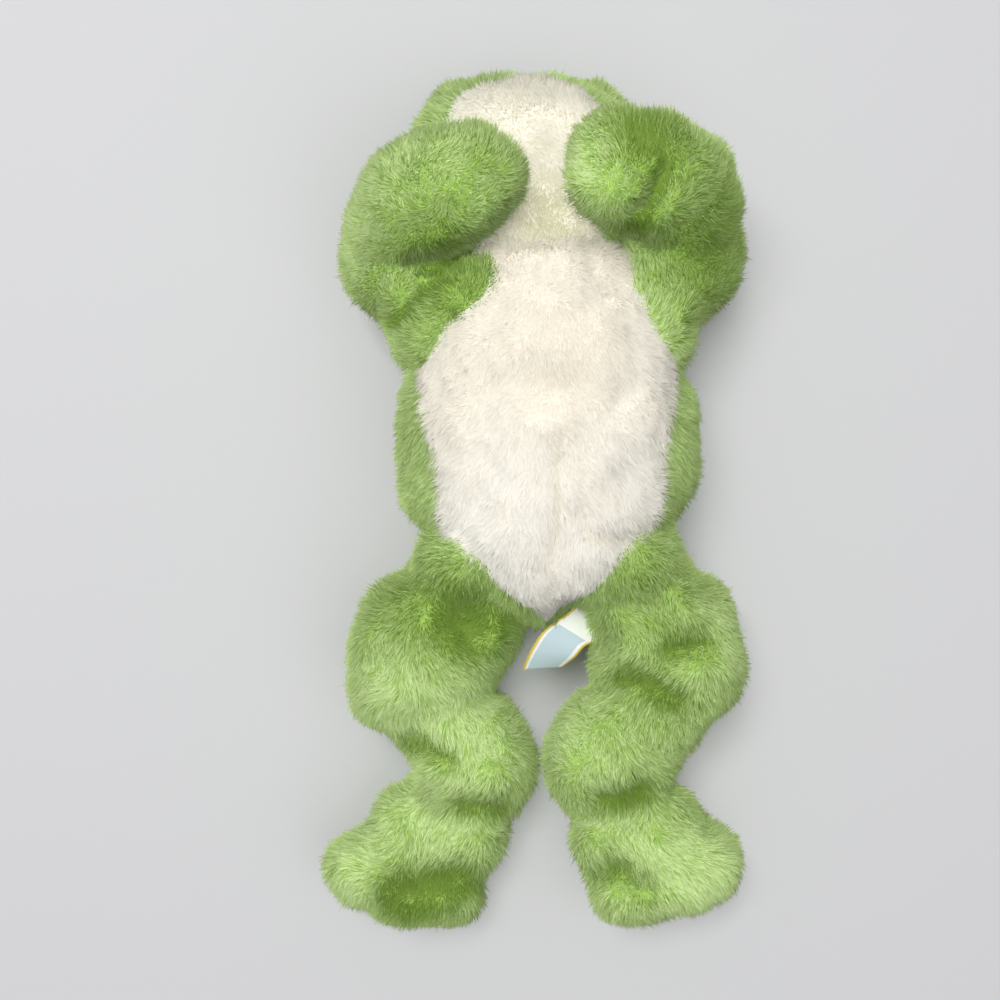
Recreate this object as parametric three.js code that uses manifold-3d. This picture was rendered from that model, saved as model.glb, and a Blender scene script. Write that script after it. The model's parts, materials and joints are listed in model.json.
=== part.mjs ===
// A stuffed plush frog lying on its back: sewn panels over soft filling, limbs folded at
// their creases, eyes on posts, and a folded care label in the crotch seam.
// Millimetres, +Z up, +Y towards the head. The frog lies on the plane Z = 0, and its right
// side is on -X. Forms include the dense part of the pile.
import * as THREE from "three";
import { mergeVertices } from "three/addons/utils/BufferGeometryUtils.js";
import Module from "manifold-3d";

const wasm = await Module();
wasm.setup();

// Clearances
const seamGap = 0.3;
const overrun = 6;
const flatDepth = 0.5;
const slabLengths = 4;

// Sewn panels: backing cloth with the dense part of its pile
const plushThick = 6;

// Torso
const torsoLength = 121;
const torsoWidth = 90.5;
const torsoHeight = 58;
const torsoMidX = 3.6;
const torsoMidY = 25;
const torsoSpineShares = [
  [0, -0.5, 0.42],
  [0, -0.3, 0.46],
  [0, 0, 0.5],
  [0, 0.3, 0.48],
  [0, 0.5, 0.46],
];

// Head
const headLength = 63;
const headWidth = 68;
const headHeight = 43;
const headMidX = -2.9;
const headFrontY = 135;
const headLift = 6;
const neckShares = [0, 0.43, 0.2];

// Limbs
const upperArmLength = 30;
const upperArmWidth = 38;
const forearmLength = 63;
const forearmWidth = 36;
const forearmHeight = 34;
const thighLength = 33;
const thighWidth = 46;
const thighHeight = 43;
const shinLength = 43.5;
const shinWidth = 39;
const shinHeight = 37;
const footLength = 52;
const footWidth = 48;
const footHeight = 29;

// How a limb's lengths swell from their near end to their far end, how much of each end is
// rounded off, and how far each length runs past its joints, as shares of its width
const upperArmSwellShares = [0.8, 0.95, 1, 1];
const forearmSwellShares = [1, 1, 0.98, 0.88, 0.76];
const thighSwellShares = [0.72, 0.88, 1, 1, 0.95];
const shinSwellShares = [0.72, 0.88, 1, 0.99];
const footSwellShares = [0.77, 0.82, 0.91, 1, 1];
const limbCapShares = [0.4, 0.4];
const pawCapShares = [0.25, 0.3];
const toeCapShares = [0.25, 0.22];
const upperArmPastShares = [0.5, 0.5];
const thighPastShares = [0.42, 0.5];
const shinPastShares = [0, 0.3];
const hipLiftShare = 0.4;
const footSquare = 2.3;

// Eyes
const moundWidth = 25;
const eyeWidth = 10.5;
const eyeHeight = 3.6;
const postWidth = 3.4;
const postLength = 9;
const washerWidth = 11;
const washerThick = 1.4;
const moundSpreadShare = 0.29;
const moundBackShare = 0.86;
const moundLiftShare = 1.18;
const eyeLook = { turn: 46, rise: -55 };

// Care label, a ribbon folded once
const labelWidth = 9;
const labelLength = 20;
const labelThick = 0.6;
const labelGap = 1.2;
const labelDroop = 22;
const labelTurn = 9;
const labelMidX = 1.6;

// How the photographed frog lies. Turns are degrees in plan away from the frog's long axis,
// positive outwards; rises are degrees above level.
const sides = {
  right: {
    sign: -1,
    shoulderShare: [-0.73, 0.25, 0.566],
    upperArm: { turn: 27, rise: -17 },
    forearm: { turn: 40, rise: 62 },
    paw: { turn: 73, rise: 24 },
    forearmRest: { alongShare: 0.36, turn: 52 },
    hipShare: [-0.535, -0.4, 0.41],
    thigh: { turn: 31, rise: -3 },
    shin: { turn: -29, rise: -3 },
    instep: { turn: 45, rise: -4 },
    toes: { turn: 27, rise: -4 },
  },
  left: {
    sign: 1,
    shoulderShare: [0.71, 0.261, 0.574],
    upperArm: { turn: 22, rise: -18 },
    forearm: { turn: 28, rise: 58 },
    paw: { turn: 93, rise: 24 },
    forearmRest: { alongShare: 0.42, turn: 52 },
    hipShare: [0.59, -0.385, 0.41],
    thigh: { turn: 24, rise: -3 },
    shin: { turn: -34, rise: -3 },
    instep: { turn: 41, rise: -4 },
    toes: { turn: 26, rise: -4 },
  },
};

// Where the inner face of each upper arm lies against the head
const upperArmRest = { alongShare: 0.22, turn: 0 };

// How far each joint opens from rest, in degrees
const reach = { neck: 20, shoulder: 45, elbow: 75, hip: 60, knee: 35, ankle: 40 };
const sweepStep = 7.5;
const touchShare = 0.001;

// How finely round pieces are cut
const turnedSides = 16;
const domeSteps = 5;
const moundSides = 16;
const moundRings = 10;
const cupSides = 20;
const cupRings = 14;
const bendSteps = 6;

const colour = {
  green: 0x86a84c,
  cream: 0xefe9dc,
  filling: 0xf4f2ee,
  eye: 0x15110e,
  washer: 0xe6e2d6,
  label: 0xf3f2ee,
};

const up = new THREE.Vector3(0, 0, 1);
const across = new THREE.Vector3(1, 0, 0);

function cloth(hex, roughness = 0.95) {
  return new THREE.MeshStandardMaterial({ color: hex, roughness, metalness: 0 });
}

// Turns a closed geometry into a solid that can be joined and cut.
function solid(geometry) {
  const bare = geometry.index ? geometry.toNonIndexed() : geometry.clone();
  bare.deleteAttribute("normal");
  bare.deleteAttribute("uv");
  const merged = mergeVertices(bare);
  const vertProperties = merged.attributes.position.array;
  const triVerts = merged.index.array;
  return new wasm.Manifold(new wasm.Mesh({ numProp: 3, vertProperties, triVerts }));
}

function meshOf(name, body, material) {
  const { vertProperties, triVerts } = body.getMesh();
  const geometry = new THREE.BufferGeometry();
  geometry.setAttribute("position", new THREE.BufferAttribute(vertProperties, 3));
  geometry.setIndex(new THREE.BufferAttribute(triVerts, 1));
  geometry.computeVertexNormals();
  const mesh = new THREE.Mesh(geometry, material);
  mesh.name = name;
  return mesh;
}

// A smooth curve through shares that stand at even steps along a form.
function shareCurve(shares) {
  const last = shares.length - 1;
  const curve = new THREE.SplineCurve(shares.map((share, i) => new THREE.Vector2(i / last, share)));
  return (u) => curve.getPoint(u).y;
}

// Rounds a form's end off over its cap share, as a quarter of an ellipse.
function roundedEnd(u, capShare) {
  const inside = Math.min(1, u / capShare);
  return Math.sqrt(1 - (1 - inside) ** 2);
}

// The spine, made longer by the same amount at each end.
function lengthened(points, extra) {
  const spine = points.map((point) => point.clone());
  const last = spine.length - 1;
  spine[0].addScaledVector(points[0].clone().sub(points[1]).normalize(), extra);
  spine[last].addScaledVector(points[last].clone().sub(points[last - 1]).normalize(), extra);
  return new THREE.CatmullRomCurve3(spine);
}

// How far along its spine a form's ring lies; the rings crowd together at both ends.
function ringPlace(i, rings) {
  return (1 - Math.cos((Math.PI * i) / rings)) / 2;
}

// A point on a stuffed form: oval sections along a spine that swell and taper and close at
// both ends. A square of 2 is an ellipse, and more is fuller at the corners. A positive
// grow makes the form thicker all over.
function skinPoint(form, spine, u, angle, grow) {
  const { width, height, swellShares, heightShares = swellShares, capShares, square = 2 } = form;
  const round = roundedEnd(u, capShares[0]) * roundedEnd(1 - u, capShares[1]);
  const ahead = spine.getTangent(u);
  const outward = ahead.clone().cross(up).normalize();
  const lift = outward.clone().cross(ahead);
  const bulge = (value) => Math.sign(value) * Math.abs(value) ** (2 / square);
  const x = bulge(Math.cos(angle)) * ((width / 2) * shareCurve(swellShares)(u) + grow) * round;
  const z = bulge(Math.sin(angle)) * ((height / 2) * shareCurve(heightShares)(u) + grow) * round;
  return spine.getPoint(u).addScaledVector(outward, x).addScaledVector(lift, z);
}

function plumpForm(form, grow = 0) {
  const { points, ring = 16, rings = 10 } = form;
  const spine = lengthened(points, grow);
  const position = spine.getPoint(0).toArray();
  for (let i = 1; i < rings; i += 1) {
    for (let k = 0; k < ring; k += 1) {
      const angle = (2 * Math.PI * k) / ring;
      position.push(...skinPoint(form, spine, ringPlace(i, rings), angle, grow).toArray());
    }
  }
  position.push(...spine.getPoint(1).toArray());
  const far = position.length / 3 - 1;
  const at = (i, k) => 1 + (i - 1) * ring + (k % ring);
  const index = [];
  for (let k = 0; k < ring; k += 1) {
    index.push(0, at(1, k), at(1, k + 1));
    for (let i = 1; i < rings - 1; i += 1) {
      index.push(at(i, k), at(i + 1, k), at(i + 1, k + 1));
      index.push(at(i, k), at(i + 1, k + 1), at(i, k + 1));
    }
    index.push(at(rings - 1, k), far, at(rings - 1, k + 1));
  }
  const geometry = new THREE.BufferGeometry();
  geometry.setAttribute("position", new THREE.Float32BufferAttribute(position, 3));
  geometry.setIndex(index);
  return geometry;
}

// Everything below the surface that the frog lies on.
function floorSlab() {
  const size = torsoLength * slabLengths;
  const slab = new THREE.BoxGeometry(size, size, overrun * 2);
  return solid(slab.translate(0, 0, -overrun));
}

// Cuts away from a piece all that an obstacle sweeps through while the piece turns about
// its joint, so that the piece bends without pressing into what it is sewn to.
function clearOf(piece, obstacle, joint, from = 0, to = joint.reach) {
  const steps = Math.max(1, Math.ceil((to - from) / sweepStep));
  let left = piece;
  for (let i = 0; i <= steps; i += 1) {
    const angle = THREE.MathUtils.degToRad(from + ((to - from) * i) / steps);
    const turn = new THREE.Matrix4().makeRotationAxis(joint.axis, -angle);
    const moved = obstacle.clone().translate(...joint.at.clone().negate().toArray());
    moved.applyMatrix4(turn).translate(...joint.at.toArray());
    left = left.subtract(solid(moved));
  }
  return left;
}

// A limb that lies against a stuffed form is pressed flat there, along the plane that
// touches the form at a share of its length and at a turn up from its side.
function pressedFlat(piece, form, sign, { alongShare, turn }) {
  const spine = lengthened(form.points, seamGap);
  const rise = THREE.MathUtils.degToRad(turn);
  const angle = sign > 0 ? rise : Math.PI - rise;
  const at = (u, a) => skinPoint(form, spine, u, a, seamGap);
  const touch = at(alongShare, angle);
  const ahead = at(alongShare + touchShare, angle).sub(touch);
  const around = at(alongShare, angle + touchShare).sub(touch);
  const normal = ahead.cross(around).normalize();
  return piece.trimByPlane(normal.toArray(), normal.dot(touch));
}

// A cup round the parent's rounded end, in which the child turns about the same centre.
function cup(joint, width) {
  const ball = new THREE.SphereGeometry(width / 2 + seamGap, cupSides, cupRings);
  return solid(ball.translate(...joint.at.toArray()));
}

// Direction of a limb: its turn is measured from the long axis, away from the middle.
function heading(along, sign, { turn, rise }) {
  const flat = THREE.MathUtils.degToRad(turn);
  const tilt = THREE.MathUtils.degToRad(rise);
  const level = Math.cos(tilt);
  return new THREE.Vector3(sign * Math.sin(flat) * level, along * Math.cos(flat) * level, Math.sin(tilt));
}

function torsoPoint([x, y, z]) {
  return new THREE.Vector3(
    torsoMidX + (x * torsoWidth) / 2,
    torsoMidY + y * torsoLength,
    z * torsoHeight,
  );
}

// Torso: broad at the belly, narrow at the throat and drawn in to a V at the crotch.
const torsoForm = {
  points: torsoSpineShares.map(torsoPoint),
  width: torsoWidth,
  height: torsoHeight,
  swellShares: [0.3, 0.5, 0.75, 0.91, 0.99, 1, 0.965, 0.91, 0.8, 0.65, 0.5],
  heightShares: [0.55, 0.7, 0.84, 0.94, 0.98, 1, 0.99, 0.95, 0.87, 0.75, 0.64],
  capShares: [0.1, 0.14],
  square: 2.2,
  ring: 24,
  rings: 14,
};

// Head: flatter than the torso, with a broad blunt front.
const headBackY = headFrontY - headLength;
const headMidZ = headLift + headHeight / 2;
const headForm = {
  points: [
    new THREE.Vector3((headMidX + torsoMidX) / 2, headBackY, headMidZ),
    new THREE.Vector3(headMidX, headBackY + headLength / 2, headMidZ),
    new THREE.Vector3(headMidX, headFrontY, headMidZ),
  ],
  width: headWidth,
  height: headHeight,
  swellShares: [0.7, 0.84, 0.97, 1, 0.9],
  capShares: [0.2, 0.34],
  square: 2.25,
  ring: 24,
  rings: 12,
};

// Where the seam between the cream and the green lies, in degrees up from the form's side,
// from its near end to its far end. At 90 the cream panel has come to its point.
const bellySeamTurns = [90, 74, 46, 32, 33, 33, 28, 21, 18, 22, 28];
const chinSeamTurns = [28, 32, 36, 40, 43, 45, 46, 47, 48, 48, 48, 47, 46, 44, 42, 44, 90];

// The window that the cream panel fills, from the form's middle height up past its top. It
// is open towards the neck, so that both cream panels meet there.
function seamWindow(form, seamTurns, openTowards, inset) {
  const { points, rings, height } = form;
  const spine = lengthened(points, 0);
  const turnAt = shareCurve(seamTurns);
  const outer = [];
  const inner = [];
  for (let i = 1; i < rings; i += 1) {
    const u = ringPlace(i, rings);
    const angle = THREE.MathUtils.degToRad(Math.min(90, turnAt(u)));
    const [right, left] = [angle, Math.PI - angle].map((a) => skinPoint(form, spine, u, a, 0));
    if (right.x - left.x < inset * 2 + seamGap) continue;
    outer.push(new THREE.Vector2(right.x - inset, right.y));
    inner.unshift(new THREE.Vector2(left.x + inset, left.y));
  }
  const past = openTowards * overrun * 2;
  const beyond = ({ x, y }) => new THREE.Vector2(x, y + past);
  const throat = openTowards > 0 ? outer.length : 0;
  const outline = [...outer, ...inner];
  if (throat) outline.splice(throat, 0, beyond(outer[throat - 1]), beyond(inner[0]));
  else outline.splice(0, 0, beyond(inner[inner.length - 1]), beyond(outer[0]));
  const middle = spine.getPoint(0.5).z;
  const depth = height / 2 + overrun;
  const prism = new THREE.ExtrudeGeometry(new THREE.Shape(outline), { depth, bevelEnabled: false });
  return solid(prism.translate(0, 0, middle));
}

// Splits a stuffed form into its two sewn panels and its filling.
function sewnForm(form, seamTurns, openTowards) {
  const outer = solid(plumpForm(form));
  const skin = outer.subtract(solid(plumpForm(form, -plushThick)));
  return {
    front: skin.intersect(seamWindow(form, seamTurns, openTowards, seamGap)),
    back: skin.subtract(seamWindow(form, seamTurns, openTowards, 0)),
    filling: solid(plumpForm(form, -plushThick - seamGap)),
  };
}

const floor = floorSlab();

// The back is pressed flat where the frog lies on it.
for (const point of torsoForm.points) point.z -= flatDepth;
const torso = sewnForm(torsoForm, bellySeamTurns, 1);
const torsoObstacle = plumpForm(torsoForm, seamGap);

const frog = new THREE.Group();
const greenCloth = () => cloth(colour.green);
const creamCloth = () => cloth(colour.cream);
const fillingFibre = () => cloth(colour.filling, 1);

frog.add(meshOf("back_panel", torso.back.subtract(floor), greenCloth()));
frog.add(meshOf("belly_panel", torso.front, creamCloth()));
frog.add(meshOf("torso_filling", torso.filling, fillingFibre()));

// Neck: the head tips back about the nape.
const neck = {
  at: torsoPoint(neckShares),
  axis: across.clone().negate(),
  reach: reach.neck,
};
const head = sewnForm(headForm, chinSeamTurns, -1);

// A round solid turned from its profile of radius and height pairs, set along an aim.
function turned(profile, aim) {
  const outline = profile.map(([radius, height]) => new THREE.Vector2(radius, height));
  return solid(new THREE.LatheGeometry(outline, turnedSides).rotateX(Math.PI / 2).applyMatrix4(aim));
}

// The profile with a gap added to each radius off its axis.
function widened(profile) {
  return profile.map(([radius, height]) => [radius > 0 ? radius + seamGap : radius, height]);
}

// Eye mounds and eyes, on the crown side that faces the floor. The post goes through the
// mound's cloth and a washer locks it inside.
function eyeAssembly(sign) {
  const mound = moundWidth / 2;
  const post = postWidth / 2;
  const dome = eyeWidth / 2;
  const washer = washerWidth / 2;
  const centre = new THREE.Vector3(
    headMidX + sign * headWidth * moundSpreadShare,
    headFrontY - mound * moundBackShare,
    mound * moundLiftShare,
  );
  const facing = new THREE.Quaternion().setFromUnitVectors(up, heading(1, sign, eyeLook));
  const aim = new THREE.Matrix4().makeRotationFromQuaternion(facing).setPosition(centre);
  const seat = mound - dome ** 2 / (2 * mound);
  const foot = seat - postLength;
  const washerTop = seat - plushThick;
  const washerLow = washerTop - washerThick;

  const eyeProfile = [[0, foot], [post, foot], [post, seat], [dome, seat]];
  for (let i = 1; i < domeSteps; i += 1) {
    const t = (Math.PI * i) / (2 * domeSteps);
    eyeProfile.push([dome * Math.cos(t), seat + eyeHeight * Math.sin(t)]);
  }
  eyeProfile.push([0, seat + eyeHeight]);
  const ringProfile = [
    [post + seamGap, washerTop],
    [post + seamGap, washerLow],
    [washer, washerLow],
    [washer, washerTop],
    [post + seamGap, washerTop],
  ];
  const recess = widened([
    [0, foot - seamGap],
    [post, foot - seamGap],
    [post, seat - seamGap],
    [dome, seat - seamGap],
    [dome, mound + overrun],
    [0, mound + overrun],
  ]);
  const pocket = widened([
    [0, washerLow - seamGap],
    [washer, washerLow - seamGap],
    [washer, washerTop + seamGap],
    [0, washerTop + seamGap],
  ]);
  const ball = new THREE.SphereGeometry(mound, moundSides, moundRings).translate(...centre.toArray());
  return {
    bump: solid(ball).subtract(turned(recess, aim)).subtract(turned(pocket, aim)),
    eye: turned(eyeProfile, aim),
    washer: turned(ringProfile, aim),
  };
}

const headObstacle = plumpForm(headForm, seamGap);
const headNodes = [
  ["crown_panel", head.back, greenCloth()],
  ["chin_panel", head.front, creamCloth()],
  ["head_filling", head.filling, fillingFibre()],
];
for (const [name, body, material] of headNodes) {
  frog.add(meshOf(name, clearOf(body, torsoObstacle, neck), material));
}
for (const [side, { sign }] of Object.entries(sides)) {
  const { bump, eye, washer } = eyeAssembly(sign);
  frog.add(meshOf(`${side}_eye_mound`, bump.subtract(solid(headObstacle)), greenCloth()));
  frog.add(meshOf(`${side}_eye`, eye, cloth(colour.eye, 0.15)));
  frog.add(meshOf(`${side}_eye_washer`, washer, cloth(colour.washer, 0.5)));
}

// One stuffed length of limb from its joint to the next, rounded past both.
function limbForm(start, end, { width, height, swellShares, pastShares }) {
  const ahead = end.clone().sub(start).normalize();
  const near = start.clone().addScaledVector(ahead, -width * pastShares[0]);
  const far = end.clone().addScaledVector(ahead, width * pastShares[1]);
  const middle = start.clone().add(end).divideScalar(2);
  return { points: [near, middle, far], width, height, swellShares, capShares: limbCapShares };
}

// Where each limb's joints lie and what they turn about, from the way the frog lies.
function jointPlaces({ sign, shoulderShare, upperArm, hipShare, thigh, shin }) {
  const shoulderAt = torsoPoint(shoulderShare);
  const upperAhead = heading(1, sign, upperArm);
  const hipAt = torsoPoint(hipShare);
  const hipTop = new THREE.Vector3(hipAt.x, hipAt.y, hipAt.z + thighHeight * hipLiftShare);
  const kneeAt = hipAt.clone().addScaledVector(heading(-1, sign, thigh), thighLength);
  const ankleAt = kneeAt.clone().addScaledVector(heading(-1, sign, shin), shinLength);
  const lifting = across.clone().negate();
  return {
    shoulder: { at: shoulderAt, axis: up.clone().multiplyScalar(-sign), reach: reach.shoulder },
    elbow: {
      at: shoulderAt.clone().addScaledVector(upperAhead, upperArmLength),
      axis: upperAhead.clone().multiplyScalar(sign),
      reach: reach.elbow,
    },
    hip: { at: hipTop, axis: lifting, reach: reach.hip, root: hipAt },
    knee: { at: kneeAt, axis: up.clone().multiplyScalar(sign), reach: reach.knee },
    ankle: { at: ankleAt, axis: lifting, reach: reach.ankle },
  };
}

const skeleton = {
  right: jointPlaces(sides.right),
  left: jointPlaces(sides.left),
};

function arm(side, { sign, forearm, paw, forearmRest }) {
  const { shoulder, elbow } = skeleton[side];
  const upperForm = limbForm(shoulder.at, elbow.at, {
    width: upperArmWidth,
    height: upperArmWidth,
    swellShares: upperArmSwellShares,
    pastShares: upperArmPastShares,
  });
  let upper = clearOf(solid(plumpForm(upperForm)), torsoObstacle, shoulder);
  upper = pressedFlat(upper, headForm, sign, upperArmRest);
  upper = clearOf(upper, headObstacle, neck, -reach.neck, 0);

  const half = forearmLength / 2;
  const bend = elbow.at.clone().addScaledVector(heading(1, -sign, forearm), half);
  const tip = bend.clone().addScaledVector(heading(1, -sign, paw), half);
  const forearmForm = {
    points: [elbow.at, bend, tip],
    width: forearmWidth,
    height: forearmHeight,
    swellShares: forearmSwellShares,
    capShares: pawCapShares,
  };
  let lower = solid(plumpForm(forearmForm)).subtract(cup(elbow, upperArmWidth));
  lower = clearOf(lower, plumpForm(upperForm, seamGap), elbow);
  lower = pressedFlat(lower, headForm, sign, forearmRest);
  lower = clearOf(lower, headObstacle, shoulder);
  lower = clearOf(lower, headObstacle, neck, -reach.neck, 0);
  frog.add(meshOf(`${side}_upper_arm`, upper.subtract(floor), greenCloth()));
  frog.add(meshOf(`${side}_forearm`, lower, greenCloth()));
}

function leg(side, { sign, instep, toes }) {
  const { hip, knee, ankle } = skeleton[side];
  const thighForm = limbForm(hip.root, knee.at, {
    width: thighWidth,
    height: thighHeight,
    swellShares: thighSwellShares,
    pastShares: thighPastShares,
  });
  const shinForm = limbForm(knee.at, ankle.at, {
    width: shinWidth,
    height: shinHeight,
    swellShares: shinSwellShares,
    pastShares: shinPastShares,
  });
  const half = footLength / 2;
  const ball = ankle.at.clone().addScaledVector(heading(-1, sign, instep), half);
  const toe = ball.clone().addScaledVector(heading(-1, sign, toes), half);
  const footForm = {
    points: [ankle.at, ball, toe],
    width: footWidth,
    height: footHeight,
    swellShares: footSwellShares,
    capShares: toeCapShares,
    square: footSquare,
  };
  const thighBody = clearOf(solid(plumpForm(thighForm)), torsoObstacle, hip);
  const shinRoot = solid(plumpForm(shinForm)).subtract(cup(knee, thighWidth));
  const shinBody = clearOf(shinRoot, plumpForm(thighForm, seamGap), knee);
  const footRoot = solid(plumpForm(footForm)).subtract(cup(ankle, shinWidth));
  const footBody = clearOf(footRoot, plumpForm(shinForm, seamGap), ankle);
  frog.add(meshOf(`${side}_thigh`, thighBody.subtract(floor), greenCloth()));
  frog.add(meshOf(`${side}_shin`, shinBody.subtract(floor), greenCloth()));
  frog.add(meshOf(`${side}_foot`, footBody.subtract(floor), greenCloth()));
}

for (const [side, pose] of Object.entries(sides)) {
  arm(side, pose);
  leg(side, pose);
}

// Care label: a ribbon folded at its far end, whose two raw ends are sewn into the crotch.
// It hangs down and towards the frog's right.
function careLabel() {
  const outerBend = labelGap / 2 + labelThick;
  const straight = labelLength - outerBend;
  const outline = new THREE.Shape();
  outline.moveTo(0, -outerBend);
  outline.lineTo(straight, -outerBend);
  outline.absarc(straight, 0, outerBend, -Math.PI / 2, Math.PI / 2);
  outline.lineTo(0, outerBend);
  outline.lineTo(0, labelGap / 2);
  outline.lineTo(straight, labelGap / 2);
  outline.absarc(straight, 0, labelGap / 2, Math.PI / 2, -Math.PI / 2, true);
  outline.lineTo(0, -labelGap / 2);
  outline.closePath();
  const options = { depth: labelWidth, bevelEnabled: false, curveSegments: bendSteps };
  const ribbon = new THREE.ExtrudeGeometry(outline, options).translate(0, 0, -labelWidth / 2);
  const outwards = heading(-1, -1, { turn: labelTurn, rise: -labelDroop });
  const sideways = up.clone().cross(outwards).normalize();
  const basis = new THREE.Matrix4().makeBasis(outwards, sideways.clone().cross(outwards), sideways);
  const seam = torsoForm.points[0];
  ribbon.applyMatrix4(basis).translate(seam.x + labelMidX, seam.y - seamGap, seam.z);
  return solid(ribbon);
}

frog.add(meshOf("care_label", careLabel().subtract(solid(torsoObstacle)), cloth(colour.label, 0.7)));

export default frog;
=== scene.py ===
# %% [markdown]
# ## A plush frog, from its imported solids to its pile
# The frog is a stuffed toy that lies on its back. Its solids already have the right size
# and joints, so this lesson dresses them: a soft cover for each part, then the pile that
# gives plush its look. Everything is in metres, in the frame of the solids.

# %% Load the frame
import bpy
import bmesh
import json
import math
import numpy as np
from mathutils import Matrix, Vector
from mathutils.bvhtree import BVHTree
from mathutils.kdtree import KDTree


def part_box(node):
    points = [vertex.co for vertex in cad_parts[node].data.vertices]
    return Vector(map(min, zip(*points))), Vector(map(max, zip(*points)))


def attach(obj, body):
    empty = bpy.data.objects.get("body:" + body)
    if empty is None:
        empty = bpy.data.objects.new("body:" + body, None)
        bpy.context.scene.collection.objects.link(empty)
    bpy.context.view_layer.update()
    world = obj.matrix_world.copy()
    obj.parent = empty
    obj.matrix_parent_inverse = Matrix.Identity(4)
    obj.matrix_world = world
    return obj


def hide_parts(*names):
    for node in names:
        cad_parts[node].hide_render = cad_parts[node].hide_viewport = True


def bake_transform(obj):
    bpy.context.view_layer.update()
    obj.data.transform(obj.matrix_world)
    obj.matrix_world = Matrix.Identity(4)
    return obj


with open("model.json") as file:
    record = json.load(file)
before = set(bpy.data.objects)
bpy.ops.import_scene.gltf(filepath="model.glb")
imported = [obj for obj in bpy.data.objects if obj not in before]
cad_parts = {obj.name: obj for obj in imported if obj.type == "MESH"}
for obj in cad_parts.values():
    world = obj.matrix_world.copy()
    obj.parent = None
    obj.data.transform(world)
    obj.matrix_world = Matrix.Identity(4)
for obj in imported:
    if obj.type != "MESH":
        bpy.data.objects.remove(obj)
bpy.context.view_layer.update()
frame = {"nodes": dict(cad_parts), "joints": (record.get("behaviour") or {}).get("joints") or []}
MM = 0.001
JOINTS = {joint["name"]: Vector(joint["pos_m"]) for joint in frame["joints"]}
SIDES = {"right": -1, "left": 1}
print("solids:", len(frame["nodes"]), "joints:", len(JOINTS))

# %% [markdown]
# ## Camera
# The photograph looks straight down from about half a metre. A lens follows from how much
# of the table one picture width covers. We set it first, because the picture's framing
# depends on it.

# %% Camera
CAMERA_HEIGHT = 0.5
PICTURE_WIDTH = 0.3326
PICTURE_MIDDLE = (-11.2 * MM, 2.2 * MM)
camera_data = bpy.data.cameras.new("camera")
camera_data.sensor_width = 36
camera_data.lens = camera_data.sensor_width * CAMERA_HEIGHT / PICTURE_WIDTH
camera = bpy.data.objects.new("camera", camera_data)
camera.location = (*PICTURE_MIDDLE, CAMERA_HEIGHT)
bpy.context.scene.collection.objects.link(camera)
bpy.context.scene.camera = camera
print("lens:", round(camera_data.lens, 1))

# %% [markdown]
# ## Colours
# Colours are picked as a monitor shows them, and Blender works with linear light,
# so one small helper converts them.


# %% Colour helper
def linear(red, green, blue):
    shares = [value / 255 for value in (red, green, blue)]
    return tuple(s / 12.92 if s <= 0.04045 else ((s + 0.055) / 1.055) ** 2.4 for s in shares) + (1,)


print("mid green:", [round(c, 3) for c in linear(150, 182, 98)])

# %% [markdown]
# ## The pile's finish
# A hair of plush is darker at its root, where little light gets, and palest at its tip.
# Neighbouring hairs also differ a little. Both come from one map on the hairs: across it
# runs the hair's own tone, and up it the place from root to tip. Two colour ramps, one for
# the deepest tone and one for the palest, are mixed by the tone. The same small map serves
# every hair, which would be hopeless to unwrap one by one.
#
# Fuzz is the sheen of fine fibres seen edge on. The green has much of it. The creams have
# next to none, because it also dims what lies under it, and that shows as grey on pale pile.

# %% Pile finish
PILE_MAP = "OFBake"


def ramp(nodes, colours):
    node = nodes.new("ShaderNodeValToRGB")
    elements = node.color_ramp.elements
    for i, (place, colour) in enumerate(colours):
        element = elements[i] if i < 2 else elements.new(place)
        element.position = place
        element.color = colour
    return node


def colour_socket(sockets, name):
    return [socket for socket in sockets if socket.name == name and socket.type == "RGBA"][0]


def pile_finish(name, deep, pale, sheen, fuzz):
    material = bpy.data.materials.new(name)
    material.use_nodes = True
    nodes, links = material.node_tree.nodes, material.node_tree.links
    shader = nodes["Principled BSDF"]
    shader.inputs["Roughness"].default_value = 0.8
    shader.inputs["Specular IOR Level"].default_value = 0.25
    shader.inputs["Sheen Weight"].default_value = fuzz
    shader.inputs["Sheen Roughness"].default_value = 0.4
    shader.inputs["Sheen Tint"].default_value = sheen
    where = nodes.new("ShaderNodeUVMap")
    where.uv_map = PILE_MAP
    split = nodes.new("ShaderNodeSeparateXYZ")
    links.new(where.outputs["UV"], split.inputs[0])
    mix = nodes.new("ShaderNodeMix")
    mix.data_type = "RGBA"
    links.new(split.outputs["X"], mix.inputs["Factor"])
    for colours, socket in ((deep, "A"), (pale, "B")):
        tint = ramp(nodes, colours)
        links.new(split.outputs["Y"], tint.inputs["Fac"])
        links.new(tint.outputs["Color"], colour_socket(mix.inputs, socket))
    links.new(colour_socket(mix.outputs, "Result"), shader.inputs["Base Color"])
    return material


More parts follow.
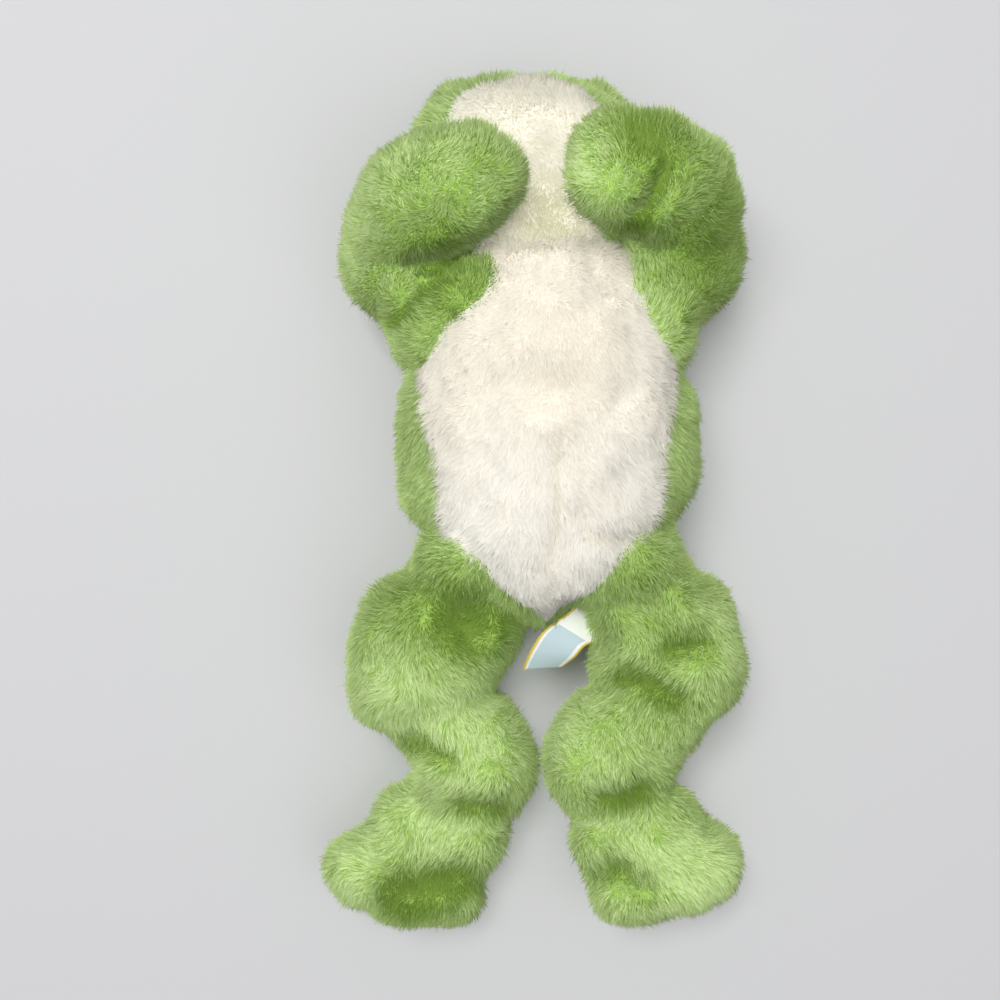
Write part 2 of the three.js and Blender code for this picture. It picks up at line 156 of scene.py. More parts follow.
green_pile = pile_finish(
    "green_pile",
    [(0, linear(70, 98, 24)), (0.5, linear(97, 128, 38)), (1, linear(134, 165, 64))],
    [(0, linear(186, 222, 116)), (0.5, linear(212, 244, 152)), (1, linear(242, 255, 206))],
    sheen=linear(214, 244, 150),
    fuzz=0.7,
)
cream_pile = pile_finish(
    "cream_pile",
    [(0, linear(222, 208, 186)), (0.5, linear(231, 223, 206)), (1, linear(240, 235, 221))],
    [(0, linear(242, 238, 227)), (0.5, linear(247, 244, 234)), (1, linear(252, 250, 243))],
    sheen=linear(255, 249, 234),
    fuzz=0.05,
)
chin_pile = pile_finish(
    "chin_pile",
    [(0, linear(190, 189, 150)), (0.5, linear(207, 205, 169)), (1, linear(224, 221, 191))],
    [(0, linear(243, 237, 222)), (0.5, linear(246, 241, 228)), (1, linear(250, 246, 236))],
    sheen=linear(255, 250, 234),
    fuzz=0.05,
)
print("pile finishes:", [finish.name for finish in (green_pile, cream_pile, chin_pile)])

# %% [markdown]
# ## The cloth under the pile
# Where the pile parts, its knitted backing shows through. It needs no map: noise on the
# object's own coordinates gives a mottled colour, and a finer noise raises the nap.


# %% Cloth finish
NAP_TO_MOTTLE = 3.5


def cloth_finish(name, dark, light, roughness=0.95, grain=420, nap_depth=0.4 * MM):
    material = bpy.data.materials.new(name)
    material.use_nodes = True
    nodes, links = material.node_tree.nodes, material.node_tree.links
    shader = nodes["Principled BSDF"]
    shader.inputs["Roughness"].default_value = roughness
    shader.inputs["Specular IOR Level"].default_value = 0.5 - roughness * 0.4
    place = nodes.new("ShaderNodeTexCoord")
    mottle = nodes.new("ShaderNodeTexNoise")
    mottle.inputs["Scale"].default_value = grain
    mottle.inputs["Detail"].default_value = 3
    links.new(place.outputs["Object"], mottle.inputs["Vector"])
    tint = ramp(nodes, [(0.35, dark), (0.65, light)])
    links.new(mottle.outputs["Fac"], tint.inputs["Fac"])
    links.new(tint.outputs["Color"], shader.inputs["Base Color"])
    nap = nodes.new("ShaderNodeTexNoise")
    nap.inputs["Scale"].default_value = grain * NAP_TO_MOTTLE
    links.new(place.outputs["Object"], nap.inputs["Vector"])
    bump = nodes.new("ShaderNodeBump")
    bump.inputs["Strength"].default_value = 0.6
    bump.inputs["Distance"].default_value = nap_depth
    links.new(nap.outputs["Fac"], bump.inputs["Height"])
    links.new(bump.outputs["Normal"], shader.inputs["Normal"])
    return material


green_cloth = cloth_finish("green_cloth", linear(150, 184, 84), linear(184, 218, 112))
cream_cloth = cloth_finish("cream_cloth", linear(248, 241, 226), linear(254, 250, 240))
print("cloth finishes:", green_cloth.name, cream_cloth.name)

# %% [markdown]
# ## Eyes and washers
# The eyes and their washers are plastic and stay the solids that they are, so they only
# need a finish: polished near-black with a very faint unevenness, and matt off-white.

# %% Plastic
eye_plastic = cloth_finish(
    "eye_plastic", linear(14, 12, 10), linear(24, 20, 16), roughness=0.12, grain=160,
    nap_depth=0.005 * MM,
)
washer_plastic = cloth_finish(
    "washer_plastic", linear(222, 218, 206), linear(232, 228, 218), roughness=0.6, grain=300,
    nap_depth=0.02 * MM,
)
for side in SIDES:
    for node, plastic in ((side + "_eye", eye_plastic), (side + "_eye_washer", washer_plastic)):
        for place in frame["nodes"][node].material_slots:
            place.material = plastic
print("plastic finishes:", eye_plastic.name, washer_plastic.name)

# %% [markdown]
# ## Stuffed forms
# Every stuffed part is a round form that swells and tapers along a spine. A sphere has
# just that make-up, so each form starts as a sphere whose poles go to the two ends of the
# spine. The sphere's height picks the place along the spine, and its turn picks the place
# around it.

# %% Curves and sections
PILE_DEPTH = 1.9 * MM


def spline(values, share, straight_ends=False):
    """Smooth curve through values that stand at even steps, read at shares from 0 to 1."""
    values = np.asarray(values, float)
    if values.ndim == 1:
        values = values[:, None]
    last = len(values) - 1
    first_more, last_more = values[0], values[-1]
    if straight_ends:
        first_more = 2 * values[0] - values[1]
        last_more = 2 * values[-1] - values[-2]
    padded = np.vstack([first_more, values, last_more])
    step = np.clip(share, 0, 1) * last
    i = np.minimum(step.astype(int), last - 1)
    f = (step - i)[:, None]
    before, start, end, after = (padded[i + k] for k in range(4))
    leave, arrive = (end - before) / 2, (after - start) / 2
    return (
        (2 * f**3 - 3 * f**2 + 1) * start
        + (f**3 - 2 * f**2 + f) * leave
        + (3 * f**2 - 2 * f**3) * end
        + (f**3 - f**2) * arrive
    )


def unit(vectors):
    return vectors / np.maximum(np.linalg.norm(vectors, axis=-1, keepdims=True), 1e-9)


def rounded_end(share, cap):
    inside = np.minimum(1, share / cap)
    return np.sqrt(np.maximum(0, 1 - (1 - inside) ** 2))


def bulge(value, square):
    return np.sign(value) * np.abs(value) ** (2 / square)


# %% A stuffed form
def plump(points, width, height, swell, caps, heights=None, square=2.0, trim=(PILE_DEPTH, PILE_DEPTH)):
    """A stuffed form as a bmesh. trim shortens the spine's ends, and the pile's depth is
    taken off all round, so that the cloth lies under the pile."""
    spine = [Vector(point) for point in points]
    spine[0] = spine[0] + (spine[1] - spine[0]).normalized() * trim[0]
    spine[-1] = spine[-1] + (spine[-2] - spine[-1]).normalized() * trim[1]
    form = bmesh.new()
    bmesh.ops.create_uvsphere(form, u_segments=56, v_segments=44, radius=1)
    ball = np.array([vert.co for vert in form.verts])
    along = (1 - ball[:, 2]) / 2
    angle = np.arctan2(ball[:, 1], ball[:, 0])
    step = 0.01
    ahead = unit(spline(spine, along + step, True) - spline(spine, along - step, True))
    outward = unit(np.cross(ahead, (0, 0, 1)))
    lift = np.cross(outward, ahead)
    both_ends = rounded_end(along, caps[0]) * rounded_end(1 - along, caps[1])
    half_width = (width / 2 * spline(swell, along)[:, 0] - PILE_DEPTH) * both_ends
    half_height = (height / 2 * spline(heights or swell, along)[:, 0] - PILE_DEPTH) * both_ends
    sideways = outward * (bulge(np.cos(angle), square) * half_width)[:, None]
    upwards = lift * (bulge(np.sin(angle), square) * half_height)[:, None]
    place = spline(spine, along, True) + sideways + upwards
    for vert, point in zip(form.verts, place):
        vert.co = point
    bmesh.ops.recalc_face_normals(form, faces=form.faces)
    return form


def as_object(name, form):
    mesh = bpy.data.meshes.new(name)
    form.to_mesh(mesh)
    form.free()
    piece = bpy.data.objects.new(name, mesh)
    bpy.context.scene.collection.objects.link(piece)
    return piece


# %% [markdown]
# ## Sewing forms into one cover
# A limb is several forms run into one another, with a few plain lobes where the stuffing
# fills a fold. A voxel remesh turns them into one closed skin, and a few rounds of
# smoothing ease the creases where they meet, as stretched cloth does.


# %% Covers
VOXEL = 2.0 * MM


def sewn_together(name, forms, rounds=5):
    whole = bmesh.new()
    for form in forms:
        part = bpy.data.meshes.new("part")
        form.to_mesh(part)
        form.free()
        whole.from_mesh(part)
        bpy.data.meshes.remove(part)
    piece = as_object(name, whole)
    remesh = piece.modifiers.new("remesh", "REMESH")
    remesh.mode = "VOXEL"
    remesh.voxel_size = VOXEL
    ease = piece.modifiers.new("ease", "SMOOTH")
    ease.factor = 0.5
    ease.iterations = rounds
    bpy.context.view_layer.update()
    ready = piece.evaluated_get(bpy.context.evaluated_depsgraph_get())
    mesh = bpy.data.meshes.new_from_object(ready)
    piece.modifiers.clear()
    piece.data = mesh
    mesh.shade_smooth()
    print(name, "faces:", len(mesh.polygons))
    return piece


def lobe(middle, radii):
    """A plain lobe of stuffing, in millimetres."""
    form = bmesh.new()
    bmesh.ops.create_uvsphere(form, u_segments=32, v_segments=24, radius=1)
    bmesh.ops.scale(form, verts=form.verts, vec=Vector(radii) * MM)
    bmesh.ops.translate(form, verts=form.verts, vec=Vector(middle) * MM)
    return form


def read(mesh, what, field):
    """One three-part field of all of a mesh's verts, faces or triangles, as an array."""
    values = np.zeros(len(getattr(mesh, what)) * 3, np.float32)
    getattr(mesh, what).foreach_get(field, values)
    return values.reshape(-1, 3).astype(float)


# %% [markdown]
# ## Lumps, creases and dimples
# Stuffing is never even, and a folded limb keeps creases. A slow noise moves the cloth in
# and out a little, and each crease is a short line, seen from above, along which the top of
# the cover is pressed down. A push moves a cover sideways round one spot, to match a hollow
# or a bulge of the outline.


# %% Lumps and creases
WAVES = 6
WAVES_PEAK = 3.2
BROAD_LUMP, FINE_LUMP = 17 * MM, 7 * MM
FLOOR_MARGIN = 0.4 * MM


def swirl(points, size, seed):
    """A soft three-way noise of about -1 to 1 that wanders over the given size."""
    waves = np.random.default_rng(seed)
    total = np.zeros((len(points), 3))
    for _ in range(WAVES):
        direction = unit(waves.normal(size=(3, 3))) * (2 * math.pi / size) * waves.uniform(0.6, 1.5)
        phase = waves.uniform(0, 2 * math.pi, 3)
        total += np.sin(points @ direction.T + phase)
    return total / WAVES_PEAK


def nearness(points, crease):
    """1 on a crease's line, seen from above, falling to 0 at its reach."""
    start, end, _, reach = crease
    start, end = np.array(start) * MM, np.array(end) * MM
    line = end - start
    flat = points[:, :2] - start
    share = np.clip(flat @ line / max(line @ line, 1e-12), 0, 1)
    distance = np.linalg.norm(flat - share[:, None] * line, axis=1) / (reach * MM)
    return np.where(distance < 1, (1 - np.minimum(distance, 1) ** 2) ** 2, 0)


def soften(piece, creases, lumps=0.7 * MM, pushes=()):
    """creases: (start, end, depth, reach). pushes: (spot, shift, reach). Both in millimetres."""
    co, normal = read(piece.data, "vertices", "co"), read(piece.data, "vertices", "normal")
    move = swirl(co, BROAD_LUMP, 21)[:, 0] * lumps + swirl(co, FINE_LUMP, 22)[:, 0] * lumps * 0.4
    upper = np.clip(normal[:, 2] * 1.6, 0, 1)
    for crease in creases:
        move -= nearness(co, crease) * upper * crease[2] * MM
    co += normal * move[:, None]
    for spot, shift, reach in pushes:
        co[:, :2] += nearness(co, (spot, spot, 0, reach))[:, None] * np.array(shift) * MM
    co[:, 2] = np.maximum(co[:, 2], FLOOR_MARGIN)
    piece.data.vertices.foreach_set("co", co.astype(np.float32).ravel())
    piece.data.update()


# %% [markdown]
# ## Torso and head covers
# The torso is broad at the belly and drawn in at the crotch, and the head is flatter with
# a blunt front. The head's cover starts inside the throat, so that the neck stays closed
# when the head tips back. A seam runs down the middle of the belly.

# %% Torso
TORSO_LENGTH, TORSO_WIDTH, TORSO_HEIGHT = 121 * MM, 90.5 * MM, 58 * MM
TORSO_MIDDLE = Vector((3.6 * MM, 25 * MM, TORSO_HEIGHT / 2))
TORSO_SWELL = [0.3, 0.5, 0.75, 0.91, 0.99, 1, 0.965, 0.91, 0.8, 0.65, 0.5]
TORSO_HEIGHTS = [0.55, 0.7, 0.84, 0.94, 0.98, 1, 0.99, 0.95, 0.87, 0.75, 0.64]
BELLY_CREASES = [
    ((5.5, 22), (4.5, -28), 1.3, 4),
    ((14, -8), (36, -8), 1.4, 5),
    ((6, 38), (6, 36), 1.6, 13),
]
torso_spine = [
    (TORSO_MIDDLE.x, TORSO_MIDDLE.y + along * TORSO_LENGTH, share * TORSO_HEIGHT)
    for along, share in ((-0.5, 0.42), (-0.3, 0.46), (0, 0.5), (0.3, 0.48), (0.5, 0.46))
]
torso_cover = sewn_together("torso_cover", [plump(
    torso_spine, TORSO_WIDTH, TORSO_HEIGHT, TORSO_SWELL, (0.1, 0.14), heights=TORSO_HEIGHTS, square=2.2
)])
TORSO_PUSHES = [
    ((-38, -10), (6, 0), 14),
    ((46, -4), (-4, 0), 14),
    ((12, -34), (0, 6), 11),
    ((48, 44), (-3, 0), 14),
    ((-43, 44), (2, 0), 14),
]
soften(torso_cover, BELLY_CREASES, pushes=TORSO_PUSHES)

# %% Head
HEAD_LENGTH, HEAD_WIDTH, HEAD_HEIGHT = 63 * MM, 68 * MM, 43 * MM
HEAD_MIDDLE = Vector((-2.9 * MM, 103.5 * MM, 27.5 * MM))
HEAD_SWELL = [0.7, 0.84, 0.97, 1, 0.9]
HEAD_PUSHES = [((-3, 136), (0, -1.2), 34), ((-33, 131), (3, -2), 13)]
INTO_THROAT = 8 * MM
head_spine = [
    ((HEAD_MIDDLE.x + TORSO_MIDDLE.x) / 2, HEAD_MIDDLE.y - HEAD_LENGTH / 2, HEAD_MIDDLE.z),
    tuple(HEAD_MIDDLE),
    (HEAD_MIDDLE.x, HEAD_MIDDLE.y + HEAD_LENGTH / 2, HEAD_MIDDLE.z),
]
head_cover = sewn_together("head_cover", [plump(
    head_spine, HEAD_WIDTH, HEAD_HEIGHT, HEAD_SWELL, (0.2, 0.34), square=2.25,
    trim=(-INTO_THROAT, PILE_DEPTH),
)])
soften(head_cover, [], 0.4 * MM, HEAD_PUSHES)

# %% [markdown]
# ## Limb covers
# An arm or a leg is one sewn tube that folds at its creases. We make a form for each
# length of it, let them run into each other at the joints, and join them into one cover.
# Each is rooted well inside the torso, so nothing opens when the limb moves.

# %% Limb sizes
UPPER_ARM = {"width": 38 * MM, "height": 38 * MM, "swell": [0.8, 0.95, 1, 1], "past": (0.5, 0.5)}
FOREARM = {"width": 36 * MM, "height": 34 * MM, "length": 63 * MM, "swell": [1, 1, 0.98, 0.88, 0.76]}
THIGH = {"width": 46 * MM, "height": 43 * MM, "swell": [0.72, 0.88, 1, 1, 0.95], "past": (0.42, 0.5)}
SHIN = {"width": 39 * MM, "height": 37 * MM, "swell": [0.72, 0.88, 1, 0.99], "past": (0.1, 0.3)}
FOOT = {"width": 48 * MM, "height": 29 * MM, "length": 52 * MM, "swell": [0.77, 0.82, 0.91, 1, 1]}
LIES = {
    "right": {"forearm": (40, 62), "paw": (73, 24), "instep": (45, -4), "toes": (27, -4)},
    "left": {"forearm": (28, 58), "paw": (93, 24), "instep": (41, -4), "toes": (26, -4)},
}
ARM_LOBES = {
    "right": [((-24, 66, 40), (15, 11, 12)), ((-41, 88, 33), (13, 15, 14))],
    "left": [((44, 91, 35), (15.5, 18, 16)), ((23.5, 102.5, 57), (12, 12, 12))],
}
HIP_LOBES = {
    "right": [((-21, -17, 34), (15, 12, 13))],
    "left": [((28, -16, 34), (15, 12, 13))],
}
print("limb lengths:", 2 * len((UPPER_ARM, FOREARM, THIGH, SHIN, FOOT)))

# %% Creases and pushes of the limbs
ARM_CREASES = {
    "right": [((-38, 73), (-14, 77), 4.5, 5), ((-40, 57), (-25, 74), 4, 5.5)],
    "left": [((37, 97), (31, 86), 4.5, 5), ((28, 84), (24, 80), 5, 6)],
}
ARM_PUSHES = {
    "right": [((-51, 54), (5, 2), 15)],
    "left": [((55, 54), (-6, 2), 15), ((51, 116), (-1, -4), 13)],
}
LEG_PUSHES = {
    "right": [
        ((-8, -54), (-4, 0), 12), ((-46, -83), (9, 0), 15), ((-52, -74), (4, 2), 12),
        ((-43, -16), (3, -4), 14), ((-58, -98), (4, -3), 14), ((-62, -117), (-3, 0), 14),
        ((-63, -128), (-2, -3), 12), ((-32, -132), (0, 3), 16), ((-4, -80), (2, 0), 14),
    ],
    "left": [
        ((17, -41), (5, 0), 12), ((14, -30), (4, 2), 10), ((52, -85), (-8, 0), 14),
        ((59, -71), (-5, 2), 13), ((58, -96), (-4, -3), 14), ((52, -15), (-3, -4), 14),
        ((65, -126), (2.5, -3), 13), ((38, -132), (0, 4), 18), ((7, -80), (-2, 0), 14),
    ],
}
LEG_CREASES = {
    "right": [
        ((-20, -36), (-24, -33), 7, 10),
        ((-21, -91), (-12, -92), 3, 6),
        ((-39, -70), (-27, -76), 2, 6),
        ((-43, -121), (-25, -115), 3.5, 10),
    ],
    "left": [
        ((42, -42), (50, -41), 3.5, 9),
        ((20, -89), (31, -86), 3.5, 7),
        ((30, -50), (43, -57), 2, 7),
        ((25, -113), (34, -118), 2.5, 9),
    ],
}
print("creases:", sum(len(lines) for lines in (*ARM_CREASES.values(), *LEG_CREASES.values())))


# %% Limb forms
def heading(along, sign, turn, rise):
    """Direction of a limb, from its turn away from the frog's long axis and its rise."""
    flat, tilt = math.radians(turn), math.radians(rise)
    level = math.cos(tilt)
    return Vector((sign * math.sin(flat) * level, along * math.cos(flat) * level, math.sin(tilt)))


def limb_length(start, end, size):
    ahead = (end - start).normalized()
    near = start - ahead * size["width"] * size["past"][0]
    far = end + ahead * size["width"] * size["past"][1]
    points = [near, (start + end) / 2, far]
    return plump(points, size["width"], size["height"], size["swell"], (0.4, 0.4))


def bent_length(start, first, second, size, caps, square=2.0):
    bend = start + first * (size["length"] / 2)
    tip = bend + second * (size["length"] / 2)
    return plump([start, bend, tip], size["width"], size["height"], size["swell"], caps, square=square)


# %% Arms
def arm_cover(side, sign):
    shoulder, elbow = JOINTS[side + "_shoulder"], JOINTS[side + "_elbow"]
    rising = heading(1, -sign, *LIES[side]["forearm"])
    resting = heading(1, -sign, *LIES[side]["paw"])
    upper = limb_length(shoulder, elbow, UPPER_ARM)
    lower = bent_length(elbow, rising, resting, FOREARM, (0.25, 0.3))
    lobes = [lobe(*spot) for spot in ARM_LOBES[side]]
    cover = sewn_together(side + "_arm", [upper, lower] + lobes, rounds=8)
    soften(cover, ARM_CREASES[side], pushes=ARM_PUSHES[side])
    return cover


arms = {side: arm_cover(side, sign) for side, sign in SIDES.items()}


# %% Legs
def hip_root(side):
    return JOINTS[side + "_hip"] - Vector((0, 0, THIGH["height"] * 0.4))


def leg_cover(side, sign):
    knee, ankle = JOINTS[side + "_knee"], JOINTS[side + "_ankle"]
    instep = heading(-1, sign, *LIES[side]["instep"])
    toes = heading(-1, sign, *LIES[side]["toes"])
    lengths = [limb_length(hip_root(side), knee, THIGH), limb_length(knee, ankle, SHIN)]
    lengths.append(bent_length(ankle, instep, toes, FOOT, (0.25, 0.22), 2.3))
    lobes = [lobe(*spot) for spot in HIP_LOBES[side]]
    cover = sewn_together(side + "_leg", lengths + lobes)
    soften(cover, LEG_CREASES[side], pushes=LEG_PUSHES[side])
    return cover


legs = {side: leg_cover(side, sign) for side, sign in SIDES.items()}

# %% [markdown]
# ## Eye mounds
# On the crown side, which faces the floor here, two small stuffed bumps carry the eyes.

# %% Eye mounds
mounds = {}
for side in SIDES:
    low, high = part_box(side + "_eye_mound")
    radius = (high.y - low.y) / 2
    ball = bmesh.new()
    bmesh.ops.create_icosphere(ball, subdivisions=4, radius=radius - PILE_DEPTH)
    bmesh.ops.translate(ball, verts=ball.verts, vec=(low + high) / 2)
    mounds[side] = as_object(side + "_mound", ball)
    mounds[side].data.shade_smooth()
print("mounds:", list(mounds))

# %% [markdown]
# ## Growing the pile
# A modifier could scatter copies of one hair over a cover, but the combing, the tufts and
# the hairs pressed flat by the floor need every hair's own place. So all hairs of a piece
# are worked out together as arrays, from their roots on the cloth. The roots stand a little
# closer on top, where they are seen, and those buried inside another cover get no hair.

# %% Hair roots
rng = np.random.default_rng(41)
HAIRS_PER_MM2 = 3.9
MORE_ON_TOP = 0.55


def cloth_points(piece, others=(), depth=1 * MM):
    """Evenly spread points on a cover, with the cover's normals there."""
    mesh = piece.data
    mesh.calc_loop_triangles()
    corners = read(mesh, "loop_triangles", "vertices").astype(int)
    co, normal = read(mesh, "vertices", "co"), read(mesh, "vertices", "normal")
    a, b, c = (co[corners[:, k]] for k in range(3))
    area = np.linalg.norm(np.cross(b - a, c - a), axis=1) / 2
    count = int(area.sum() / MM**2 * HAIRS_PER_MM2)
    upper = np.cross(b - a, c - a)[:, 2] / np.maximum(area * 2, 1e-12)
    share_of = area * (1 + MORE_ON_TOP * upper)
    chosen = rng.choice(len(area), count, p=share_of / share_of.sum())
    share = rng.random((count, 2))
    over = share.sum(1) > 1
    share[over] = 1 - share[over]
    weights = np.column_stack([1 - share.sum(1), share])
    points = np.einsum("nk,nkc->nc", weights, co[corners[chosen]])
    normals = unit(np.einsum("nk,nkc->nc", weights, normal[corners[chosen]]))
    shown = ~buried(points, others, depth)
    return points[shown], normals[shown]


def buried(points, others, depth):
    """Which points lie deeper than this inside another cover, where nothing ever shows."""
    inside = np.zeros(len(points), bool)
    for other in others:
        mesh = other.data
        low, high = read(mesh, "vertices", "co").min(0), read(mesh, "vertices", "co").max(0)
        tree = BVHTree.FromPolygons([v.co for v in mesh.vertices], [p.vertices for p in mesh.polygons])
        for i in np.nonzero(np.all((points > low) & (points < high), axis=1) & ~inside)[0]:
            nearest, facing, _, _ = tree.find_nearest(points[i])
            inside[i] = (Vector(points[i]) - nearest).dot(facing) < -depth
    return inside


def tone_of(points, seed, middle=0.56, soft=0.1, fine=0.22):
    """How pale each hair is, from 0 to 1: an even middle, soft patches and each hair's own."""
    return middle + swirl(points, 34 * MM, seed)[:, 0] * soft + rng.normal(0, fine, len(points))


# %% [markdown]
# ## Painted sheen and shade
# Pile that a hand has stroked lies another way and catches the light differently, so its
# sheen looks paler or darker, and dimples lie in shade. This light and shade is painted into
# the hairs' tone. Each patch is a soft round spot, seen from above, that shifts the tone of
# the hairs in it.

# %% Painted sheen and shade
# Each is (x, y, radius) in millimetres, and how much paler the painted sheen and shade
# make the pile there.
SHEEN_AND_SHADE_PATCHES = [
    ((-21, -34, 11), -1.2), ((-33, -28, 20), -0.3), ((-38, -119, 12), -0.6), ((34, -118, 10), 0.35),
    ((41, -28, 15), -0.45), ((33, -58, 13), -0.15), ((-27, 75, 9), -0.35), ((-20, 62, 14), -0.4),
    ((30, 103, 12), -0.8), ((58, 89, 17), -0.3), ((46, 73, 17), -0.4), ((-57, 84, 15), 0.3),
    ((-45, -57, 15), 0.25), ((-17, -69, 15), 0.15), ((-30, -104, 10), 0.25), ((-59, -119, 13), 0.25),
    ((14, 98, 13), 0.35), ((57, -35, 13), 0.4), ((13, -72, 11), 0.15), ((37, -104, 9), 0.2),
    ((59, -119, 13), 0.25), ((-30, 104, 12), -0.1), ((-12, 97, 10), -0.25), ((-35, 92, 12), -0.15),
    ((24, -15, 12), -0.25), ((20, -68, 14), -0.15), ((40, -100, 12), -0.1), ((-24, 66, 12), -0.15),
    ((-46, 73, 8), -0.4),
]


def soft_spot(points, x, y, radius):
    """1 in the middle of a round spot, seen from above, fading softly outwards."""
    away = np.hypot(points[:, 0] - x * MM, points[:, 1] - y * MM) / (radius * MM)
    return np.exp(-(away**2))


def painted_sheen_and_shade(points, normals):
    """Painted sheen and shade: how much paler or darker the upper pile looks at each point."""
    change = np.zeros(len(points))
    for place, amount in SHEEN_AND_SHADE_PATCHES:
        change += amount * soft_spot(points, *place)
    return change * np.clip(normals[:, 2] * 2 + 0.3, 0, 1)


# %% [markdown]
# ## Tufts and hairs
# Plush pile is combed roughly one way, wanders in soft swirls and sticks together in small
# tufts. A hair is a closed three-sided spindle, thin at the root, widest past its middle
# and pointed at the tip, so the upper pile is dense and catches the light. Its normals are
# mostly those of the cloth below it, as the millions of finer hairs of real plush scatter
# light like one soft surface. For the same reason a pile throws no shadow: light seeps
# through it, and the covers below throw the shadows.


# %% Tufts
PER_TUFT = 9
TUFT_SPREAD = 0.8


def tufted(tips, roots, pull):
    """Draws each tip towards the tip of its tuft's own first hair."""
    leaders = max(1, len(tips) // PER_TUFT)
    tree = KDTree(leaders)
    for i in range(leaders):
        tree.insert(roots[i], i)
    tree.balance()
    nearest = np.array([tree.find(point)[1] for point in roots])
    lean = (tips[nearest] - roots[nearest]) + (roots[nearest] - roots) * TUFT_SPREAD
    return tips + (roots + lean - tips) * pull


# %% Hair forms
FLOOR_GAP = 0.2 * MM
HAIR_WIDTH = 0.29 * MM
ROOT_DEPTH = 0.4 * MM
BROAD_SWIRL, FINE_SWIRL = (26 * MM, 0.45), (8 * MM, 0.3)
OWN_WAY = 0.2
SHORT_TO_LONG, THIN_TO_THICK = (0.75, 1.15), (0.7, 1.25)
LONG_ONES, LONGER = 0.05, 1.25
BELT_SHARE, TIP_SHARE = 0.58, 0.46
BELT_BEND, TIP_RISE = 0.6, 0.7
BELT_FOLLOWS, BELT_DRAWN_IN = 0.5, 0.86


def spindles(roots, normals, comb, length, lean, pull):
    """The five points of every hair, from the root over the three of its belt to the tip."""
    count = len(roots)
    drift = comb + swirl(roots, BROAD_SWIRL[0], 7) * BROAD_SWIRL[1]
    drift += swirl(roots, FINE_SWIRL[0], 8) * FINE_SWIRL[1]
    drift += rng.normal(0, OWN_WAY, (count, 3))
    drift -= normals * np.sum(drift * normals, axis=1, keepdims=True)
    size = np.reshape(length, (-1, 1)) * rng.uniform(*SHORT_TO_LONG, (count, 1))
    size[rng.random(count) < LONG_ONES] *= LONGER
    belts = roots + unit(normals + drift * lean * BELT_BEND) * size * BELT_SHARE
    tips = belts + unit(normals * TIP_RISE + drift * lean) * size * TIP_SHARE
    tips = tufted(tips, roots, pull)
    belts += (tips - roots) * BELT_FOLLOWS * pull + (roots - belts) * BELT_DRAWN_IN * pull
    tips[:, 2] = np.maximum(tips[:, 2], FLOOR_GAP)
    belts[:, 2] = np.maximum(belts[:, 2], FLOOR_GAP + HAIR_WIDTH / 2)
    ahead = unit(tips - roots)
    side = unit(np.cross(ahead, rng.normal(size=(count, 3))))
    other = np.cross(ahead, side)
    thick = HAIR_WIDTH * rng.uniform(*THIN_TO_THICK, (count, 1)) / 2
    verts = np.zeros((count, 5, 3))
    verts[:, 0] = roots - normals * ROOT_DEPTH
    for k in range(3):
        turn = 2 * math.pi * k / 3
        verts[:, 1 + k] = belts + (side * math.cos(turn) + other * math.sin(turn)) * thick
    verts[:, 4] = tips
    return verts, ahead


# %% Hairs
HAIR_FACES = [(0, 2, 1), (0, 3, 2), (0, 1, 3), (1, 2, 4), (2, 3, 4), (3, 1, 4)]
MAP_ACROSS = np.array([0, -0.004, 0, 0.004, 0])
MAP_UP = np.array([0.03, 0.55, 0.55, 0.55, 0.97])
FACING_AHEAD, FACING_OWN_WAY = 0.35, 0.16


def grow(name, roots, normals, comb, length, tone, finish, lean=1.0, pull=0.22):
    """One piece of pile: at each root a spindle that bends over along the comb."""
    count = len(roots)
    verts, ahead = spindles(roots, normals, comb, length, lean, pull)
    corners = np.array(HAIR_FACES).ravel()
    loops = (corners[None, :] + 5 * np.arange(count)[:, None]).ravel()
    faces = count * len(HAIR_FACES)
    mesh = bpy.data.meshes.new(name)
    mesh.vertices.add(count * 5)
    mesh.loops.add(len(loops))
    mesh.polygons.add(faces)
    mesh.vertices.foreach_set("co", verts.astype(np.float32).ravel())
    mesh.loops.foreach_set("vertex_index", loops.astype(np.int32))
    mesh.polygons.foreach_set("loop_start", (np.arange(faces) * 3).astype(np.int32))
    mesh.update(calc_edges=True)
    u = np.clip(tone, 0.02, 0.98)[:, None] + MAP_ACROSS[corners][None, :]
    v = np.tile(MAP_UP[corners], (count, 1))
    mesh.uv_layers.new(name=PILE_MAP)
    mesh.uv_layers[PILE_MAP].data.foreach_set("uv", np.stack([u, v], axis=2).astype(np.float32).ravel())
    mesh.materials.append(finish)
    mesh.shade_smooth()
    facing = unit(normals + ahead * FACING_AHEAD + rng.normal(0, FACING_OWN_WAY, (count, 3)))
    mesh.normals_split_custom_set_from_vertices(np.repeat(facing, 5, axis=0))
    piece = bpy.data.objects.new(name, mesh)
    bpy.context.scene.collection.objects.link(piece)
    piece.visible_shadow = False
    print(name, "hairs:", count)
    return piece


# %% [markdown]
# ## Where the cream ends
# The belly panel is set into the green along one seam on each side. The seam lies at a
# certain turn around the form, in degrees, which changes from end to end, so a point's own
# turn and place along the form tell which cloth it is on. The chin is set into the head in
# the same way. Where the cloths meet, some hairs of each stand among the other's.

# %% Seams
BELLY_SEAM_TURNS = [80, 62, 42, 40, 41, 38, 32, 24, 18, 22, 28]
CHIN_SEAM_TURNS = [28, 32, 36, 40, 43, 45, 46, 47, 48, 48, 48, 47, 46, 45, 45, 58, 90]
SEAM_BLUR = 1.5
CREAM_RISE = 0.8 * MM


